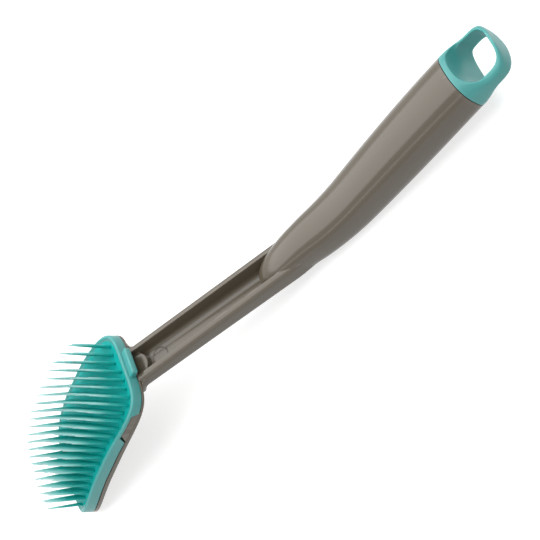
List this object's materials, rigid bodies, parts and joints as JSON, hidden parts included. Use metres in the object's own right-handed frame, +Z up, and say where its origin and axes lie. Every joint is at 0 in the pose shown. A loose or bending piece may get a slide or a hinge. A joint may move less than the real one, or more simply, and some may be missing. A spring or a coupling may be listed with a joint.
{
  "type": "dish brush",
  "caption": "Long-handled dish brush with an open-channel neck, a hollow bent grip, a hanging cap and a clip-on head of soft tapering bristles.",
  "frame": {"origin": "centre of the bounding box's bottom face, on the surface that the brush lies on", "axes": "+X along the handle toward the hanging cap, +Y across, +Z up, with the brush on its back and its bristles up"},
  "size_m": [0.284, 0.049, 0.0501],
  "materials": {
    "handle_grey": "satin injection-moulded",
    "teal_plastic": "satin injection-moulded",
    "teal_bristle": "soft, matt and slightly translucent"
  },
  "bodies": {
    "handle": {"handle": "handle_grey", "end_cap": "teal_plastic"},
    "brush_head": {"head_frame": "teal_plastic", "bristle_pad": "teal_bristle"}
  },
  "joints": [
    {"name": "head_release", "type": "slide", "parent": "handle", "child": "brush_head", "axis": [-0.3638, 0, 0.9315], "range_m": [0, 0.012]}
  ]
}
